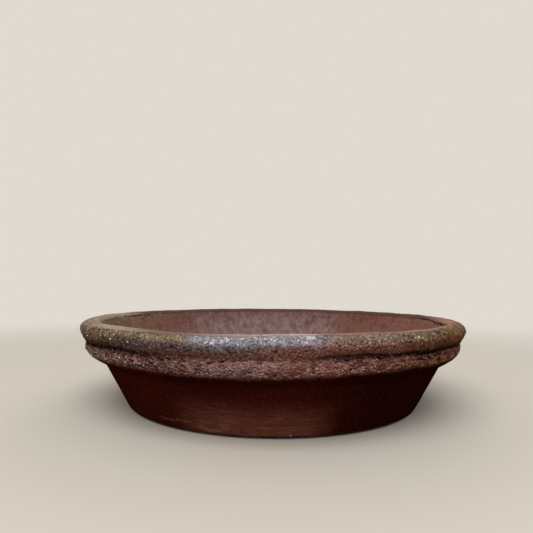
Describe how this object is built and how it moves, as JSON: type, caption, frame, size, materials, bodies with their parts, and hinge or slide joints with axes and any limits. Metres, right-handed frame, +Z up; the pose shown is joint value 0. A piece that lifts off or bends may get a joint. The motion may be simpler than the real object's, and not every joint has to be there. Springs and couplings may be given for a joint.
{
  "type": "shallow plant pot",
  "caption": "Shallow round stoneware plant pot with a leaning wall, a torn collar under a rolled rim, and drain and wire holes in its floor.",
  "frame": {"origin": "middle of the face that the pot stands on", "axes": "+Z up along the axis that the pot is round about, -Y towards the side that the picture shows"},
  "size_m": [0.3, 0.3002, 0.065],
  "materials": {
    "bare_clay": "smooth unglazed stoneware, dark chocolate brown, with fine throwing lines",
    "inside_clay": "dull unglazed stoneware, mauve brown, with a pale dusting",
    "foot_clay": "dull unglazed stoneware, worn where it meets the table",
    "torn_clay": "rough, torn and pitted stoneware with pale grit",
    "ash_clay": "stoneware with a thin olive and grey ash sheen and pale grit"
  },
  "bodies": {
    "root": {"wall": "bare_clay", "floor_slab": "inside_clay", "corner_coil": "inside_clay", "foot_ring": "foot_clay", "collar_band": "torn_clay", "rim_roll": "ash_clay"}
  },
  "joints": []
}
